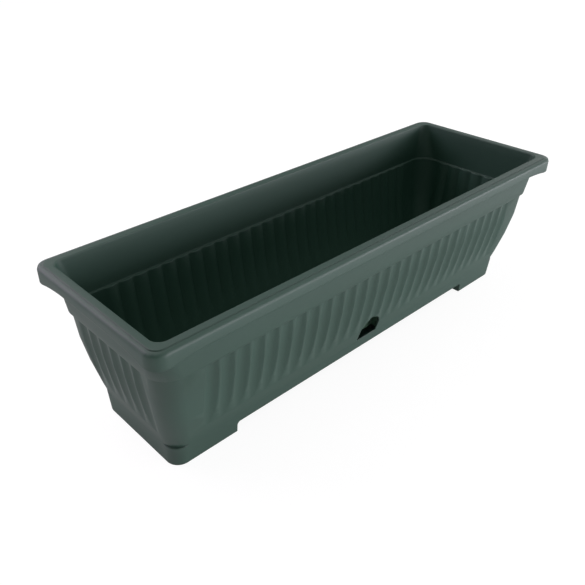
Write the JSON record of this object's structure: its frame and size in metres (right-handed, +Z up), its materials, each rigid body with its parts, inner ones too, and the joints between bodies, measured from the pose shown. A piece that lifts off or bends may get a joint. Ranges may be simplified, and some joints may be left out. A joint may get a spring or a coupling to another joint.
{
  "type": "window box planter",
  "caption": "Long rectangular window-box planter with fluted, swept-in walls, a flat rim, an arched filling mouth low in the front, and a loose slotted reservoir grid inside.",
  "frame": {"origin": "on the ground under the middle of the trough", "axes": "+X along the length, +Y across towards the wall without the filling mouth, +Z up"},
  "size_m": [0.6, 0.2, 0.17],
  "materials": {
    "trough_plastic": "grey-green moulded polypropylene with a satin sheen",
    "grid_plastic": "dark green moulded polypropylene, satin"
  },
  "bodies": {
    "box": {"trough": "trough_plastic"},
    "grid": {"reservoir_grid": "grid_plastic"}
  },
  "joints": [
    {"name": "grid_lift", "type": "slide", "parent": "box", "child": "grid", "axis": [0, 0, 1], "range_m": [0, 0.18]}
  ]
}
